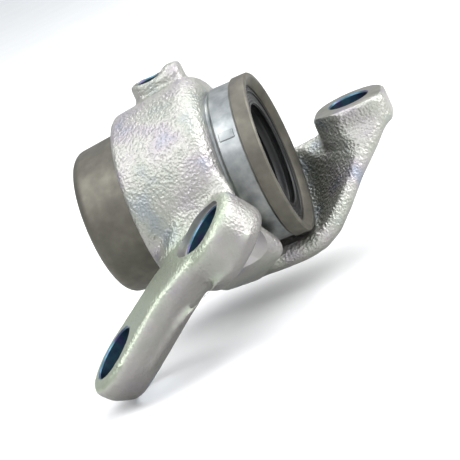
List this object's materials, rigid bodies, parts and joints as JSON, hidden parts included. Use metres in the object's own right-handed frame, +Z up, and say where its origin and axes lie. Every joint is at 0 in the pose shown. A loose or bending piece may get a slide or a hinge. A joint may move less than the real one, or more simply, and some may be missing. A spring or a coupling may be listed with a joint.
{
  "type": "steering knuckle",
  "caption": "Left-hand steering knuckle casting with a pressed bearing sleeve, a sealed double-row wheel bearing, oil seals, a ball-joint ear and a steering arm.",
  "frame": {"origin": "centre of the wheel bearing, on the wheel axis", "axes": "+X along the wheel axis, out of the drive-shaft mouth; +Z up, along the hole in the ball-joint ear; +Y towards the ball-joint ear"},
  "size_m": [0.1278, 0.1288, 0.0954],
  "materials": {
    "plated_casting": "zinc plated over a sand-cast skin",
    "turned_sleeve": "bare turned steel, dull",
    "bearing_steel": "ground and hardened",
    "polished_steel": "polished",
    "pressed_steel": "pressed sheet",
    "spring_steel": "phosphated dark grey",
    "cage_nylon": "moulded natural nylon",
    "seal_rubber": "moulded nitrile rubber"
  },
  "bodies": {
    "knuckle": {"knuckle_casting": "plated_casting", "bearing_sleeve": "turned_sleeve", "outer_ring": "bearing_steel", "inboard_shield": "seal_rubber", "outboard_shield": "seal_rubber", "retaining_ring": "spring_steel", "inboard_seal_rubber": "seal_rubber", "inboard_seal_case": "pressed_steel", "inboard_seal_spring": "polished_steel", "outboard_seal_rubber": "seal_rubber", "outboard_seal_case": "pressed_steel", "outboard_seal_spring": "polished_steel"},
    "bearing_inner": {"inboard_inner_ring": "bearing_steel", "outboard_inner_ring": "bearing_steel", "inner_ring_clip": "pressed_steel"},
    "cage_inboard": {"inboard_cage": "cage_nylon", "inboard_balls": "polished_steel"},
    "cage_outboard": {"outboard_cage": "cage_nylon", "outboard_balls": "polished_steel"}
  },
  "joints": [
    {"name": "bearing_spin", "type": "hinge", "parent": "knuckle", "child": "bearing_inner", "pos_m": [0, 0, 0], "axis": [1, 0, 0], "continuous": true},
    {"name": "inboard_cage_spin", "type": "hinge", "parent": "knuckle", "child": "cage_inboard", "pos_m": [0, 0, 0], "axis": [1, 0, 0], "continuous": true},
    {"name": "outboard_cage_spin", "type": "hinge", "parent": "knuckle", "child": "cage_outboard", "pos_m": [0, 0, 0], "axis": [1, 0, 0], "continuous": true}
  ],
  "couplings": [
    {"joint": "inboard_cage_spin", "follows": "bearing_spin", "ratio": 0.42},
    {"joint": "outboard_cage_spin", "follows": "bearing_spin", "ratio": 0.42}
  ]
}
